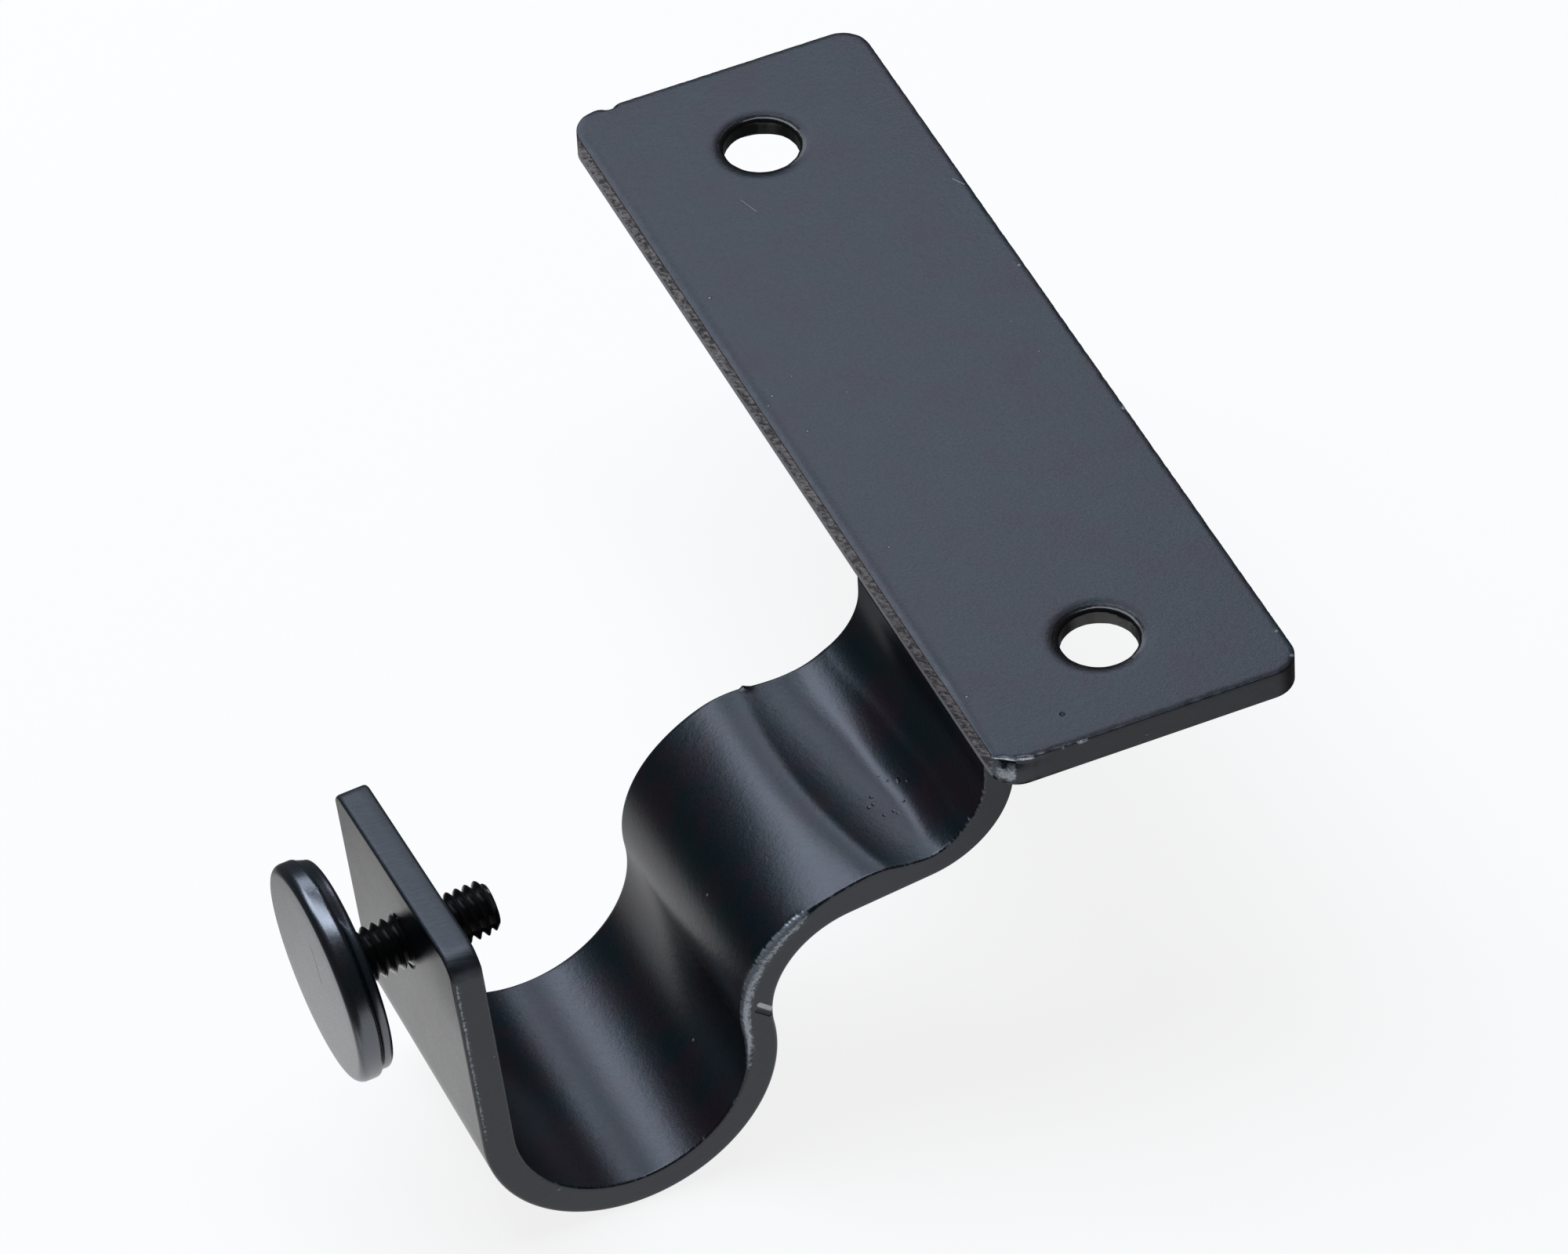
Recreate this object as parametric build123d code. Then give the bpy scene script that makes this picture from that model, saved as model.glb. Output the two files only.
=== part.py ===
from build123d import *
from math import radians, tan
import os

# Curtain pole bracket for fixing under a ceiling or lintel, in millimetres.
# X runs across the mounting plate, with the pole cup on the -X side.
# Y runs along the plate and along the pole. +Z points out of the mounting face.
# The origin is in the middle of the mounting face, midway between its two screw holes.

# Mounting plate: flat steel, sheared to length, with a screw hole near each end
plate_length = 74.5
plate_width = 23.0
plate_thickness = 2.4
plate_corner_radius = 2.2
plate_top_arris = 0.15
plate_bottom_arris = 0.45

# Screw holes: a straight land below the mounting face, then a countersink for the head
hole_spacing = 57.0
hole_diameter = 5.5
hole_land = 1.4
countersink_angle = 90.0
hole_rim_chamfer = 0.2

# Arm: one bent strip, welded on edge under the plate's -X side. It was sheared from sheet, so the
# edges of the face that becomes the cup's inside are rolled over, and those of the other are sharp.
arm_width = 21.2
arm_thickness = 2.3
arm_rolled_edge = 0.35
arm_end_inset = 2.8
drop_length = 1.2
valley_radius = 5.2
valley_angle = 82.0
run_length = 6.3
hump_radius = 9.3
hump_angle = 91.0

# Pole cup and tab: the cup's inside radius, and the tab that rises from it to the screw
cup_radius = 8.75
cup_angle = 184.5
tab_length = 18.8
tab_corner_radius = 1.3
tab_cut_slope = 5.5

# Weld bead in the hidden corner between plate and arm
weld_leg = 1.0
weld_length = 15.0

# Thumb screw: a flat disc head with a flange behind it, turned with its shank in one piece
screw_diameter = 3.9
screw_hole_clearance = 0.05
screw_drop = 7.4
screw_stand_out = 4.4
screw_tip_chamfer = 0.4
head_gap = 4.0
head_diameter = 16.0
head_thickness = 1.75
head_front_round = 0.7
head_back_chamfer = 0.45
flange_diameter = 15.3
flange_thickness = 0.85
flange_chamfer = 0.3

# How far a cutting shape runs past the metal
cut_margin = 2.0

# Places that follow from the sizes above
arm_left_x = -plate_width / 2
arm_middle_y = -plate_length / 2 + arm_end_inset + arm_width / 2
half_strip = arm_thickness / 2


def mounting_plate():
    """Flat plate with rounded corners, softened edges and two countersunk holes."""
    blank = extrude(RectangleRounded(plate_width, plate_length, plate_corner_radius), -plate_thickness)
    blank = fillet(blank.faces().sort_by(Axis.Z)[0].edges(), plate_bottom_arris)
    blank = fillet(blank.faces().sort_by(Axis.Z)[-1].edges(), plate_top_arris)
    for side in (-1, 1):
        blank -= Pos(0, side * hole_spacing / 2, 0) * screw_hole()
    return blank


def screw_hole():
    """The space of one screw hole: broken rim, straight land and countersink, about its own axis."""
    bore = hole_diameter / 2
    sink_depth = plate_thickness - hole_land
    sink = bore + sink_depth * tan(radians(countersink_angle / 2))
    outline = Polyline((0, 0), (bore + hole_rim_chamfer, 0), (bore, -hole_rim_chamfer), (bore, -hole_land),
                       (sink, -plate_thickness), (0, -plate_thickness), (0, 0))
    return revolve(Plane.XZ * make_face(outline), Axis.Z)


def arm_path():
    """Middle line of the bent strip from the plate down to the cup and up to the tab's top."""
    start = (arm_left_x + half_strip, -plate_thickness)
    drop = Line(start, (start[0], start[1] - drop_length))
    valley = JernArc(drop @ 1, drop % 1, valley_radius + half_strip, -valley_angle)
    run = Line(valley @ 1, valley @ 1 + (valley % 1) * run_length)
    hump = JernArc(run @ 1, run % 1, hump_radius - half_strip, hump_angle)
    cup = JernArc(hump @ 1, hump % 1, cup_radius + half_strip, -cup_angle)
    tab = Line(cup @ 1, cup @ 1 + (cup % 1) * tab_length)
    path = Wire([drop.edge(), valley.edge(), run.edge(), hump.edge(), cup.edge(), tab.edge()])
    return Pos(0, arm_middle_y, 0) * (Plane.XZ * path)


def tab_frame(path):
    """Plane on the tab's outer face, at the middle of its top, with Z pointing outwards."""
    up = path % 1
    outwards = Vector(0, 1, 0).cross(up) * -1
    return Plane(origin=path @ 1 + outwards * half_strip, x_dir=(0, 1, 0), z_dir=outwards)


def screw_frame(path):
    """The tab's frame, moved down to the thumb screw's axis."""
    frame = tab_frame(path)
    up = path % 1
    return Plane(origin=frame.origin - up * screw_drop, x_dir=frame.x_dir, z_dir=frame.z_dir)


def pole_arm():
    """Strip bent along its path, with the tab's sheared end, its screw hole and the weld bead."""
    path = arm_path()
    section = Rectangle(arm_width, arm_thickness)
    section = fillet(section.vertices().group_by(Axis.Y)[0], arm_rolled_edge)
    strip = sweep(Plane(origin=path @ 0, x_dir=(0, 1, 0), z_dir=path % 0) * section, path)
    strip = trim_tab_end(strip, path)
    hole_radius = screw_diameter / 2 + screw_hole_clearance
    hole = Cylinder(hole_radius, 2 * (arm_thickness + cut_margin))
    strip -= screw_frame(path).location * hole
    return strip + weld_bead()


def trim_tab_end(strip, path):
    """Keeps the tab below its sheared top, which falls towards +Y, with two rounded corners."""
    half = arm_width / 2
    fall = arm_width * tan(radians(tab_cut_slope))
    outline = Polyline((-half, -tab_length), (half, -tab_length), (half, -fall), (-half, 0),
                       (-half, -tab_length))
    outline = make_face(outline)
    outline = fillet(outline.vertices().sort_by(Axis.Y)[-2:], tab_corner_radius)
    reach = arm_thickness + cut_margin
    keep = extrude(outline, reach, both=True)
    waste = Box(arm_width + 2 * cut_margin, 2 * tab_length, 2 * reach) - keep
    tab_face = Plane(origin=tab_frame(path).origin, x_dir=(0, 1, 0), z_dir=Vector(0, 1, 0).cross(path % 1))
    return strip - tab_face * waste


def weld_bead():
    """Fillet weld along the hidden corner, rounded off at both ends and level with the plate."""
    straight = weld_length - 2 * weld_leg
    bead = Rot(90, 0, 0) * Cylinder(weld_leg, straight)
    for side in (-1, 1):
        bead += Pos(0, side * straight / 2, 0) * Sphere(weld_leg)
    bead = Pos(arm_left_x + arm_thickness, arm_middle_y, -plate_thickness) * bead
    return split(bead, bisect_by=Plane.XY.offset(-plate_thickness), keep=Keep.BOTTOM)


def thumb_screw():
    """Disc head, flange and shank about Z, with Z = 0 where the tab's outer face lies."""
    shank_length = head_gap + arm_thickness + screw_stand_out
    shank = Pos(0, 0, head_gap - shank_length / 2) * Cylinder(screw_diameter / 2, shank_length)
    shank = chamfer(shank.faces().sort_by(Axis.Z)[0].edges(), screw_tip_chamfer)
    flange = Pos(0, 0, head_gap + flange_thickness / 2) * Cylinder(flange_diameter / 2, flange_thickness)
    flange = chamfer(flange.edges().filter_by(GeomType.CIRCLE), flange_chamfer)
    head_middle = head_gap + flange_thickness + head_thickness / 2
    head = Pos(0, 0, head_middle) * Cylinder(head_diameter / 2, head_thickness)
    head = fillet(head.faces().sort_by(Axis.Z)[-1].edges(), head_front_round)
    head = chamfer(head.faces().sort_by(Axis.Z)[0].edges(), head_back_chamfer)
    return shank + flange + head


def write_parts():
    """Writes each piece to its own STEP file."""
    os.makedirs("parts", exist_ok=True)
    pieces = {
        "mounting_plate": mounting_plate(),
        "pole_arm": pole_arm(),
        "thumb_screw": screw_frame(arm_path()).location * thumb_screw(),
    }
    for name, piece in pieces.items():
        export_step(piece, f"parts/{name}.step")


write_parts()
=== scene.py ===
"""Looks of the curtain pole bracket: a coated steel plate, a bent strip with its cup, and a thumb screw.

Shapes are worked out in millimetres in the part's own frame and scaled to metres as each mesh is made.
"""
from math import cos, degrees, hypot, pi, radians, sin, sqrt, tan

import bmesh
import bpy
import numpy as np
from mathutils import Matrix, Vector, noise
from mathutils.geometry import delaunay_2d_cdt


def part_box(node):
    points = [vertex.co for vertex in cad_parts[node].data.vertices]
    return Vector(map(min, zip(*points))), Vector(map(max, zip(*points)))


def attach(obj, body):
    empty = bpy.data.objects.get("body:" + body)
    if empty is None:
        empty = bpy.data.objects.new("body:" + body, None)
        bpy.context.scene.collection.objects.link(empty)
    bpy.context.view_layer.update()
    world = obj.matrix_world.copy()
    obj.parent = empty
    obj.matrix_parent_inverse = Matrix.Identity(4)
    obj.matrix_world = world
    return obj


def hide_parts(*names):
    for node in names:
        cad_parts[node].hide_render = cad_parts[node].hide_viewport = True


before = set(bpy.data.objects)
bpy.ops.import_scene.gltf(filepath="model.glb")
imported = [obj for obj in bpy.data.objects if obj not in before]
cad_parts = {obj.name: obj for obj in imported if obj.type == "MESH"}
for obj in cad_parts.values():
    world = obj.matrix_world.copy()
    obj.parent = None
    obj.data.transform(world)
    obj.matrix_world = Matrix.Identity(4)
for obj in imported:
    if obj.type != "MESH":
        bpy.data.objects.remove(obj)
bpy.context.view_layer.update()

MM = 0.001

# Plate
PLATE_LOW, PLATE_HIGH = (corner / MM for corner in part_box("mounting_plate"))
PLATE_THICKNESS = PLATE_HIGH.z - PLATE_LOW.z
CORNER_RADIUS = 2.2
HOLE_SPACING = 57.0
HOLE_RADIUS = 2.75
HOLE_LAND = 1.4
SINK_RADIUS = 3.75
PLATE_ARRIS = 0.07
PLATE_LOW_ROUND = 0.18

# Arm: the strip's middle line is straight runs and arcs, as (length) or (radius, turn in degrees)
ARM_LOW, ARM_HIGH = (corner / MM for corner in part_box("pole_arm"))
ARM_MIDDLE_Y = (ARM_LOW.y + ARM_HIGH.y) / 2
STRIP_WIDTH = 21.2
STRIP_THICKNESS = 2.3
HALF_WIDTH = STRIP_WIDTH / 2
HALF_STRIP = STRIP_THICKNESS / 2
TAB_LENGTH = 18.8
ARM_STEPS = [(1.2,), (6.35, -82.0), (6.3,), (8.15, 91.0), (9.9, -184.5), (TAB_LENGTH,)]
TAB_CUT_SLOPE = radians(5.5)
TAB_NEAR_CORNER = 2.05
TAB_FAR_CORNER = 1.3
TAB_OUTER_X = -51.2
ROLLED_EDGE = 0.30
SHARP_EDGE = 0.12
NEAR_OUTER_EDGE = 0.26
END_ROUND = 0.30

# Thumb screw: an M4 thread of 0.7 mm pitch, measured from the tab's outer face
SCREW_DROP = 7.4
SCREW_TIP = -6.7
SCREW_HOLE_RADIUS = 2.0
THREAD_PITCH = 0.7
THREAD_CREST = 1.95
THREAD_ROOT = 1.49
THREAD_RUN_OUT = 0.35
TIP_CHAMFER = 0.5
NECK_RELIEF = 0.05
HEAD_START = 4.0
FLANGE_RADIUS = 7.65
FLANGE_THICKNESS = 0.85
FLANGE_EDGE = 0.36
HEAD_RADIUS = 8.0
HEAD_THICKNESS = 1.75
HEAD_BACK = HEAD_START + FLANGE_THICKNESS
HEAD_FRONT = HEAD_BACK + HEAD_THICKNESS

# Which finish a face has, as its number in the list of its mesh
COATED = 0
SHEARED = 1
HOLE_WALL = 2
THREADED = 1


class Value:
    """A number in a shader: each operator adds one Math node."""

    def __init__(self, graph, socket):
        self.graph, self.socket = graph, socket

    def maths(self, operation, *others):
        made = self.graph.node("ShaderNodeMath", {"operation": operation}, dict(enumerate((self, *others))))
        return Value(self.graph, made.outputs[0])

    def __add__(self, other):
        return self.maths("ADD", other)

    def __sub__(self, other):
        return self.maths("SUBTRACT", other)

    def __rsub__(self, other):
        return (self * -1) + other

    def __mul__(self, other):
        return self.maths("MULTIPLY", other)

    def __truediv__(self, other):
        return self.maths("DIVIDE", other)

    def __abs__(self):
        return self.maths("ABSOLUTE")

    def most(self, other):
        return self.maths("MAXIMUM", other)

    def least(self, other):
        return self.maths("MINIMUM", other)

    __radd__ = __add__
    __rmul__ = __mul__


class Graph:
    """A node tree with one way to add a node: its settings, then the values or links of its inputs."""

    def __init__(self, tree):
        self.tree = tree

    def node(self, kind, settings=None, inputs=None):
        made = self.tree.nodes.new(kind)
        for name, value in (settings or {}).items():
            setattr(made, name, value)
        for name, value in (inputs or {}).items():
            value = getattr(value, "socket", value)
            if isinstance(value, bpy.types.NodeSocket):
                self.tree.links.new(value, made.inputs[name])
            else:
                made.inputs[name].default_value = value
        return made

    def ray_kinds(self):
        """Whether a camera ray, a glossy ray or a transmission ray asks, as 0 or 1 each."""
        rays = self.node("ShaderNodeLightPath").outputs
        return [Value(self, rays[name]) for name in ("Is Camera Ray", "Is Glossy Ray", "Is Transmission Ray")]

    def close_geometry(self, geometry, coat):
        """Ends a tree of geometry nodes with real instances in one finish."""
        real = self.node("GeometryNodeRealizeInstances", None, {0: geometry}).outputs[0]
        coated = self.node("GeometryNodeSetMaterial", None, {"Geometry": real, "Material": coat}).outputs[0]
        self.node("NodeGroupOutput", None, {0: coated})


class Finish(Graph):
    """A material on object coordinates in millimetres, with the patterns that the finishes share."""

    def __init__(self, name):
        self.material = bpy.data.materials.new(name)
        self.material.use_nodes = True
        super().__init__(self.material.node_tree)
        self.tree.nodes.clear()
        coordinates = self.node("ShaderNodeTexCoord").outputs["Object"]
        self.place = self.scaled(coordinates, 1 / MM)
        parts = self.node("ShaderNodeSeparateXYZ", None, {0: self.place})
        self.x, self.y, self.z = (Value(self, output) for output in parts.outputs)

    def scaled(self, vector, factor):
        made = self.node("ShaderNodeVectorMath", {"operation": "SCALE"}, {0: vector, "Scale": factor})
        return made.outputs[0]

    def vector_maths(self, operation, first, second, output="Vector"):
        made = self.node("ShaderNodeVectorMath", {"operation": operation}, {0: first, 1: second})
        return made.outputs[output]

    def stretched(self, scale, turn=(0, 0, 0)):
        """The place in millimetres, turned and then stretched along each axis."""
        turned = self.node("ShaderNodeMapping", None,
                           {"Vector": self.place, "Rotation": [radians(angle) for angle in turn]})
        return self.vector_maths("MULTIPLY", turned.outputs[0], scale)

    def noise(self, scale, detail=2.0, roughness=0.5, vector=None):
        made = self.node("ShaderNodeTexNoise", None, {
            "Vector": vector or self.place, "Scale": scale, "Detail": detail, "Roughness": roughness})
        return Value(self, made.outputs[0])

    def cells(self, scale):
        """How far the place is from the nearest of scattered points."""
        made = self.node("ShaderNodeTexVoronoi", None, {"Vector": self.place, "Scale": scale})
        return Value(self, made.outputs["Distance"])

    def between(self, value, low, high):
        """0 below low and 1 above high, smoothly."""
        made = self.node("ShaderNodeMapRange", {"interpolation_type": "SMOOTHSTEP"},
                         {"Value": value, "From Min": low, "From Max": high})
        return Value(self, made.outputs[0])

    def near(self, place, radius, soft=0.4):
        """1 round a place in millimetres, falling to 0 at the radius."""
        apart = Value(self, self.vector_maths("DISTANCE", self.place, place, "Value"))
        return 1 - self.between(apart, radius * (1 - soft), radius)

    def stroke(self, start, end, width):
        """1 along a straight mark between two places in millimetres."""
        start, end = Vector(start), Vector(end)
        way = (end - start).normalized()
        offset = self.vector_maths("SUBTRACT", self.place, start)
        along = Value(self, self.vector_maths("DOT_PRODUCT", offset, way, "Value"))
        nearest = self.scaled(tuple(way), along.most(0.0).least((end - start).length))
        apart = Value(self, self.vector_maths("DISTANCE", offset, nearest, "Value"))
        return 1 - self.between(apart, width * 0.5, width)

    def mixed(self, share, first, second):
        settings = {"data_type": "RGBA"}
        return self.node("ShaderNodeMix", settings, {0: share, 6: first, 7: second}).outputs[2]

    def bump(self, height, distance=1.0):
        """The distance is the height in millimetres for a value of 1."""
        inputs = {"Strength": 1.0, "Distance": distance * MM, "Height": height}
        return self.node("ShaderNodeBump", None, inputs).outputs[0]

    def surface(self, **inputs):
        """The closing shader, with sockets named in plain words."""
        names = {"colour": "Base Color", "rough": "Roughness", "metal": "Metallic", "normal": "Normal",
                 "ior": "IOR", "sheen_tint": "Specular Tint"}
        shader = self.node("ShaderNodeBsdfPrincipled", None, {names[k]: v for k, v in inputs.items()})
        self.node("ShaderNodeOutputMaterial", None, {"Surface": shader.outputs[0]})
        return self.material


def colour(red, green, blue):
    return (red, green, blue, 1.0)


BLUISH = colour(0.002, 0.007, 0.009)
PURPLISH = colour(0.009, 0.005, 0.008)
COOL_GLOSS = colour(0.84, 0.90, 1.0)
BARE_STEEL = colour(0.72, 0.72, 0.70)
# Rubbed coat, and also the colour of painted highlights on the plate's corner and the tab's outer edge.
RUBBED_STEEL_AND_HIGHLIGHT = colour(0.30, 0.32, 0.35)
SPECK_GREY = colour(0.16, 0.17, 0.18)
RUST_STAIN = colour(0.22, 0.09, 0.07)

# Marks that the photo shows in the coat, in millimetres: a place and a radius, or a start, an end and a width
SPECKS = [
    ((-9.99, 15.08, 0.0), 0.17), ((-10.18, 3.73, 0.0), 0.15), ((-10.84, 2.92, -0.03), 0.13),
    ((-8.11, 4.97, 0.0), 0.11), ((-9.45, -0.70, 0.0), 0.13), ((-9.22, -14.0, 0.0), 0.13),
    ((-5.33, 1.76, 0.0), 0.11), ((8.11, 3.25, 0.0), 0.11), ((8.53, -0.44, 0.0), 0.11),
    ((-0.51, -37.25, -1.56), 0.13), ((-44.59, -34.45, -28.67), 0.17), ((-48.54, -34.45, -13.73), 0.11),
    ((-30.1, -24.87, -20.36), 0.14), ((-31.35, -27.58, -26.33), 0.14), ((-29.06, -26.16, -14.34), 0.12),
    ((11.1, 8.4, 0.0), 0.20), ((11.43, -8.38, -0.04), 0.26), ((11.12, -33.48, 0.0), 0.20),
    ((11.04, -36.09, -0.03), 0.20), ((-10.62, -29.89, 0.0), 0.16)]
SCRATCHES = [((10.71, 18.88, 0.0), (11.22, 17.98, -0.02), 0.10),
             ((-3.78, 23.61, 0.0), (-3.28, 21.96, 0.0), 0.08)]
NICK = ((-28.95, -34.45, -17.60), (-28.10, -34.45, -18.35), 0.24)
NICK_SHADOW = ((-29.15, -34.45, -18.05), (-28.20, -34.45, -18.85), 0.22)
BLACK_SPECK = ((-5.49, -34.34, 0.0), 0.22)
PITTED = (-16.0, -27.2, -9.8)
HEAD_SCRATCHES = [((-57.53, -24.39, -7.98), (-57.42, -25.12, -9.42), 0.07),
                  ((-57.42, -25.12, -9.42), (-57.29, -25.38, -10.99), 0.07),
                  ((-56.96, -23.79, -3.63), (-56.47, -23.73, -3.61), 0.13)]
HEAD_STAIN = ((-57.12, -26.26, -13.16), (-57.15, -27.24, -12.78), 0.10)


def most_of(masks):
    """The highest of several masks."""
    masks = list(masks)
    highest = masks[0]
    for mask in masks[1:]:
        highest = highest.most(mask)
    return highest


def black_satin(coat, peel, grain, rough):
    """Tone, height and roughness of a black with orange peel, fine grain and a mottle from blue to purple."""
    mottle = coat.noise(0.22, 4.0, 0.6)
    ripple = coat.noise(1.6, 2.0)
    fine = coat.noise(4.5, 3.0, 0.65)
    tone = coat.mixed(coat.between(mottle, 0.38, 0.62), BLUISH, PURPLISH)
    return tone, ripple * peel + fine * grain, rough + (fine - 0.5) * 0.14 + (mottle - 0.5) * 0.05


def powder_coat():
    """Black satin coat of plate and arm, with its rubbed edges, specks and pits; the worn attribute also
    brings painted highlights at the plate's near left corner and along the tab's outer edge.
    """
    coat = Finish("powder_coat")
    tone, height, roughness = black_satin(coat, peel=0.010, grain=0.011, rough=0.31)
    attribute = coat.node("ShaderNodeAttribute", {"attribute_name": "worn"})
    worn = Value(coat, attribute.outputs["Fac"])
    hammered = coat.noise(1.0, 2.0, 0.6, coat.stretched((4.2, 0.6, 4.2)))
    # Rubbed coat, and painted highlights where the worn attribute marks the plate's corner and the tab's
    # outer edge.
    rubbed_and_highlight = coat.between(worn + (hammered - 0.5) * 1.1, 0.30, 0.85)
    tone = coat.mixed(rubbed_and_highlight, tone, RUBBED_STEEL_AND_HIGHLIGHT)
    tone = coat.mixed(coat.between(worn, 1.2, 1.6).most(coat.stroke(*NICK)), tone, BARE_STEEL)
    specks = most_of([coat.near(*speck) for speck in SPECKS] + [coat.stroke(*mark) for mark in SCRATCHES])
    tone = coat.mixed(specks * 0.8, tone, SPECK_GREY)
    holes = coat.near(*BLACK_SPECK).most(coat.stroke(*NICK_SHADOW))
    pits = coat.between(coat.cells(1.5), 0.26, 0.08) * coat.near(PITTED, 2.6, 0.4)
    height = height + hammered * worn.least(1.0) * 0.10 + specks * 0.05 - holes * 0.08 - pits * 0.05
    return coat.surface(colour=tone, rough=roughness + holes * 0.3, metal=rubbed_and_highlight * 0.6, sheen_tint=COOL_GLOSS,
                        normal=coat.bump(height))


def screw_coat():
    """Smoother coat of the thumb screw, with the scratches and the stain on its head."""
    coat = Finish("screw_coat")
    tone, height, roughness = black_satin(coat, peel=0.004, grain=0.003, rough=0.27)
    scratches = most_of(coat.stroke(*mark) for mark in HEAD_SCRATCHES)
    tone = coat.mixed(coat.stroke(*HEAD_STAIN) * 0.7, tone, RUST_STAIN)
    return coat.surface(colour=tone, rough=roughness + scratches * 0.2, ior=2.1, sheen_tint=COOL_GLOSS,
                        normal=coat.bump(height - scratches * 0.012))


def sheared_side():
    """Side of the plate as the shear left it: torn streaks above, a smooth band along the bottom."""
    side = Finish("sheared_side")
    streaks = side.noise(1.0, 3.0, 0.6, side.stretched((1.0, 0.9, 6.0), (38, 0, 0)))
    specks = side.noise(5.0, 2.0)
    smooth_band = side.between(side.z, PLATE_LOW.z + 0.75, PLATE_LOW.z + 0.55)
    torn = 1 - smooth_band
    dark, light = colour(0.070, 0.064, 0.060), colour(0.33, 0.29, 0.27)
    tone = side.mixed(side.between(streaks, 0.36, 0.66), dark, light)
    tone = side.mixed(smooth_band, tone, colour(0.32, 0.305, 0.30))
    height = streaks * torn * 0.06 + specks * 0.006
    return side.surface(colour=tone, rough=0.55 - smooth_band * 0.12, normal=side.bump(height))


def sheared_end():
    """Top of the tab: a coated cut with fine lines across its thickness, darker along its inner edge."""
    end = Finish("sheared_end")
    lines = end.noise(1.0, 3.0, 0.65, end.stretched((0.5, 6.5, 1.0), (0, 0, 12)))
    mottle = end.noise(0.6, 2.0)
    inner = end.between(end.x + (mottle - 0.5) * 0.8, TAB_OUTER_X + 1.3, TAB_OUTER_X + 2.2)
    dark, light = colour(0.012, 0.016, 0.019), colour(0.026, 0.031, 0.036)
    tone = end.mixed(end.between(lines, 0.35, 0.65), dark, light)
    tone = end.mixed(inner * 0.6, tone, colour(0.006, 0.006, 0.007))
    height = lines * 0.022 + mottle * 0.01
    return end.surface(colour=tone, rough=0.40 + (lines - 0.5) * 0.1 + inner * 0.08, sheen_tint=COOL_GLOSS,
                       normal=end.bump(height))


def thread_black():
    """Oily black of the cut thread."""
    thread = Finish("thread_black")
    streak = thread.noise(3.0, 2.0)
    tone = thread.mixed(streak, colour(0.003, 0.003, 0.003), colour(0.009, 0.009, 0.009))
    return thread.surface(colour=tone, rough=0.20 + (streak - 0.5) * 0.12, normal=thread.bump(streak, 0.01))


def mesh_object(name, points, faces, materials, face_material=None):
    """An object from points in millimetres, its faces and the material of each face."""
    mesh = bpy.data.meshes.new(name)
    mesh.from_pydata([tuple(p) for p in points], [], [tuple(int(i) for i in f) for f in faces])
    for material in materials:
        mesh.materials.append(material)
    if face_material is not None:
        mesh.polygons.foreach_set("material_index", np.asarray(face_material, np.int32))
    mesh.transform(Matrix.Scale(MM, 4))
    made = bpy.data.objects.new(name, mesh)
    bpy.context.scene.collection.objects.link(made)
    return made


def finished_piece(name, points, faces, materials, finishes, worn=(), sharp_angle=38):
    """A piece with its wear and painted highlights on its points, faces outwards, smooth shading and sharp
    edges past the angle.
    """
    made = mesh_object(name, points, faces, materials, finishes)
    if worn:
        layer = made.data.attributes.new("worn", "FLOAT", "POINT")
        padded = np.zeros(len(points), np.float32)
        padded[:len(worn)] = worn
        layer.data.foreach_set("value", padded)
    work = bmesh.new()
    work.from_mesh(made.data)
    bmesh.ops.remove_doubles(work, verts=work.verts, dist=1e-8)
    bmesh.ops.recalc_face_normals(work, faces=work.faces)
    work.to_mesh(made.data)
    work.free()
    made.data.shade_smooth()
    made.data.set_sharp_from_angle(angle=radians(sharp_angle))
    made.data.update()
    return made


def waver(*place, scale=1.0, seed=0.0):
    """Smooth noise from about -1 to 1 at a place in millimetres."""
    x, y, z = (*place, 0.0, 0.0, 0.0)[:3]
    return noise.noise(Vector((x * scale + seed, y * scale + seed * 1.7, z * scale - seed)))


def circle_angles(count):
    return np.arange(count) * 2 * pi / count


def add_faces(faces, finishes, made, finish=COATED):
    """Adds faces that share one finish."""
    faces.extend(made)
    finishes.extend([finish] * len(made))


def grid_faces(rows, columns, first=0):
    """Quads of closed rings laid one after another."""
    ring = np.arange(columns)
    after = (ring + 1) % columns
    faces = []
    for row in range(rows - 1):
        a = first + row * columns
        faces.extend(np.stack([a + ring, a + after, a + columns + after, a + columns + ring], 1).tolist())
    return faces


# Plate


def plate_outline(step=0.25):
    """Points and outward normals round the plate, anticlockwise from its near right corner."""
    half_x = (PLATE_HIGH.x - PLATE_LOW.x) / 2 - CORNER_RADIUS
    half_y = (PLATE_HIGH.y - PLATE_LOW.y) / 2 - CORNER_RADIUS
    corners = [(half_x, -half_y, -90), (half_x, half_y, 0), (-half_x, half_y, 90), (-half_x, -half_y, 180)]
    points, normals = [], []
    arc_steps = 16
    for index, (x, y, start) in enumerate(corners):
        for i in range(arc_steps + 1):
            angle = radians(start + 90 * i / arc_steps)
            normal = np.array((cos(angle), sin(angle)))
            points.append(np.array((x, y)) + CORNER_RADIUS * normal)
            normals.append(normal)
        following = corners[(index + 1) % 4]
        angle = radians(following[2])
        normal = np.array((cos(angle), sin(angle)))
        goal = np.array(following[:2]) + CORNER_RADIUS * normal
        last = points[-1]
        span = goal - last
        count = int(np.linalg.norm(span) / step)
        for i in range(1, count):
            points.append(last + span * i / count)
            normals.append(normal)
    return np.array(points), np.array(normals)


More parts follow.
